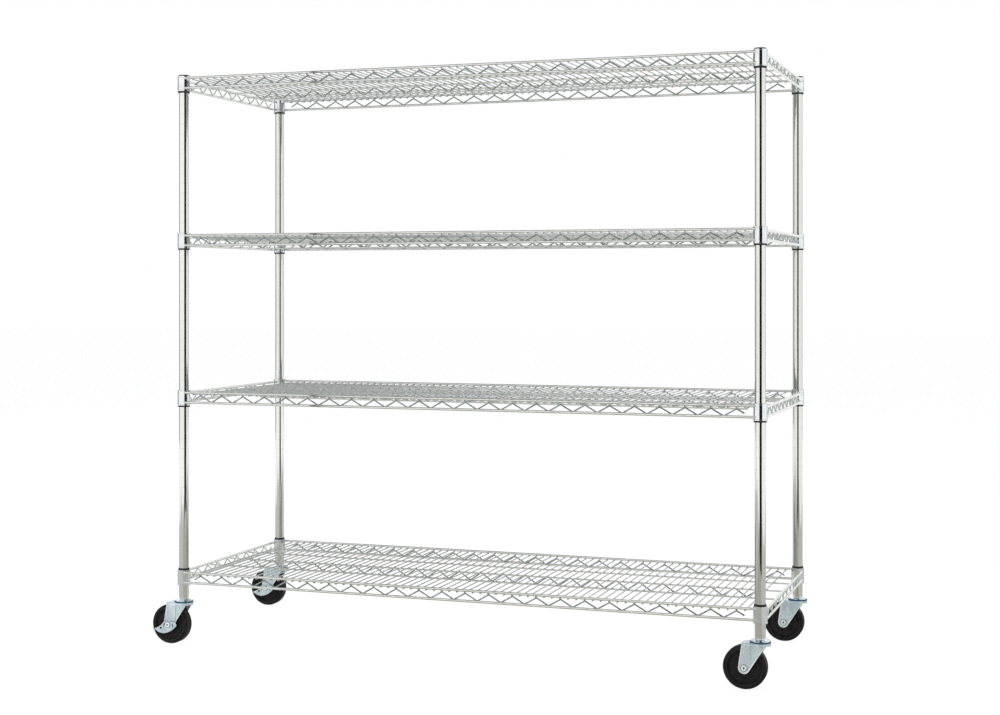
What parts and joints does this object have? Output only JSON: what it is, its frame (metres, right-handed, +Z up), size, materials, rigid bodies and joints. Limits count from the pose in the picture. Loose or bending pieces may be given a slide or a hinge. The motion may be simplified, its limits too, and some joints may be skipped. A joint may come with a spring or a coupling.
{
  "type": "wire shelving rack",
  "caption": "Open rack of welded wire shelves on grooved round posts, each shelf wedged on tapered split sleeves, rolling on swivel casters with brakes at one end.",
  "frame": {"origin": "on the floor, under the middle of the four posts", "axes": "+X along the long side, away from the braked casters; +Y to the back; +Z up"},
  "size_m": [1.5993, 0.6422, 1.4732],
  "materials": {
    "post_chrome": "bright chrome plate",
    "collar_chrome": "bright chrome plate",
    "wire_chrome": "chrome plate over welded wire",
    "sleeve_plastic": "moulded black",
    "cap_plastic": "moulded black",
    "insert_zinc": "zinc plate",
    "caster_zinc": "blue-white zinc plate",
    "ball_steel": "polished",
    "dust_ring_plastic": "dark blue nylon",
    "wheel_rubber": "hard black rubber"
  },
  "bodies": {
    "root": {"post_front_left": "post_chrome", "post_front_right": "post_chrome", "post_rear_left": "post_chrome", "post_rear_right": "post_chrome", "post_caps": "cap_plastic", "post_inserts": "insert_zinc", "caster_stems": "caster_zinc", "caster_top_cups": "caster_zinc", "caster_race_balls": "ball_steel", "caster_dust_rings": "dust_ring_plastic", "bottom_shelf_sleeves": "sleeve_plastic", "bottom_shelf_collars": "collar_chrome", "bottom_shelf_rim_wires": "wire_chrome", "bottom_shelf_edge_snakes": "wire_chrome", "bottom_shelf_centre_snake": "wire_chrome", "bottom_shelf_deck_wires": "wire_chrome", "bottom_shelf_support_wires": "wire_chrome", "lower_shelf_sleeves": "sleeve_plastic", "upper_shelf_sleeves": "sleeve_plastic", "top_shelf_sleeves": "sleeve_plastic"},
    "lower_shelf": {"lower_shelf_collars": "collar_chrome", "lower_shelf_rim_wires": "wire_chrome", "lower_shelf_edge_snakes": "wire_chrome", "lower_shelf_centre_snake": "wire_chrome", "lower_shelf_deck_wires": "wire_chrome", "lower_shelf_support_wires": "wire_chrome"},
    "upper_shelf": {"upper_shelf_collars": "collar_chrome", "upper_shelf_rim_wires": "wire_chrome", "upper_shelf_edge_snakes": "wire_chrome", "upper_shelf_centre_snake": "wire_chrome", "upper_shelf_deck_wires": "wire_chrome", "upper_shelf_support_wires": "wire_chrome"},
    "top_shelf": {"top_shelf_collars": "collar_chrome", "top_shelf_rim_wires": "wire_chrome", "top_shelf_edge_snakes": "wire_chrome", "top_shelf_centre_snake": "wire_chrome", "top_shelf_deck_wires": "wire_chrome", "top_shelf_support_wires": "wire_chrome"},
    "front_left_swivel": {"front_left_fork": "caster_zinc", "front_left_wheel_bush": "caster_zinc"},
    "front_left_roller": {"front_left_wheel": "wheel_rubber"},
    "front_left_brake": {"front_left_brake_pedal": "caster_zinc", "front_left_axle_bolt": "caster_zinc"},
    "front_right_swivel": {"front_right_fork": "caster_zinc", "front_right_wheel_bush": "caster_zinc", "front_right_axle_bolt": "caster_zinc"},
    "front_right_roller": {"front_right_wheel": "wheel_rubber"},
    "rear_left_swivel": {"rear_left_fork": "caster_zinc", "rear_left_wheel_bush": "caster_zinc"},
    "rear_left_roller": {"rear_left_wheel": "wheel_rubber"},
    "rear_left_brake": {"rear_left_brake_pedal": "caster_zinc", "rear_left_axle_bolt": "caster_zinc"},
    "rear_right_swivel": {"rear_right_fork": "caster_zinc", "rear_right_wheel_bush": "caster_zinc", "rear_right_axle_bolt": "caster_zinc"},
    "rear_right_roller": {"rear_right_wheel": "wheel_rubber"}
  },
  "joints": [
    {"name": "lower_shelf_lift", "type": "slide", "parent": "root", "child": "lower_shelf", "axis": [0, 0, 1], "range_m": [0, 0.362]},
    {"name": "upper_shelf_lift", "type": "slide", "parent": "root", "child": "upper_shelf", "axis": [0, 0, 1], "range_m": [0, 0.362]},
    {"name": "top_shelf_lift", "type": "slide", "parent": "root", "child": "top_shelf", "axis": [0, 0, 1], "range_m": [0, 0.045]},
    {"name": "front_left_swivel_turn", "type": "hinge", "parent": "root", "child": "front_left_swivel", "pos_m": [-0.745, -0.2878, 0.108], "axis": [0, 0, 1], "continuous": true},
    {"name": "front_left_wheel_spin", "type": "hinge", "parent": "front_left_swivel", "child": "front_left_roller", "pos_m": [-0.779, -0.2878, 0.0508], "axis": [0, 1, 0], "continuous": true},
    {"name": "front_left_brake_press", "type": "hinge", "parent": "front_left_swivel", "child": "front_left_brake", "pos_m": [-0.779, -0.2878, 0.0508], "axis": [0, -1, 0], "range_deg": [0, 20]},
    {"name": "front_right_swivel_turn", "type": "hinge", "parent": "root", "child": "front_right_swivel", "pos_m": [0.745, -0.2878, 0.108], "axis": [0, 0, 1], "continuous": true},
    {"name": "front_right_wheel_spin", "type": "hinge", "parent": "front_right_swivel", "child": "front_right_roller", "pos_m": [0.711, -0.2878, 0.0508], "axis": [0, 1, 0], "continuous": true},
    {"name": "rear_left_swivel_turn", "type": "hinge", "parent": "root", "child": "rear_left_swivel", "pos_m": [-0.745, 0.2878, 0.108], "axis": [0, 0, 1], "continuous": true},
    {"name": "rear_left_wheel_spin", "type": "hinge", "parent": "rear_left_swivel", "child": "rear_left_roller", "pos_m": [-0.779, 0.2878, 0.0508], "axis": [0, 1, 0], "continuous": true},
    {"name": "rear_left_brake_press", "type": "hinge", "parent": "rear_left_swivel", "child": "rear_left_brake", "pos_m": [-0.779, 0.2878, 0.0508], "axis": [0, -1, 0], "range_deg": [0, 20]},
    {"name": "rear_right_swivel_turn", "type": "hinge", "parent": "root", "child": "rear_right_swivel", "pos_m": [0.745, 0.2878, 0.108], "axis": [0, 0, 1], "continuous": true},
    {"name": "rear_right_wheel_spin", "type": "hinge", "parent": "rear_right_swivel", "child": "rear_right_roller", "pos_m": [0.711, 0.2878, 0.0508], "axis": [0, 1, 0], "continuous": true}
  ]
}
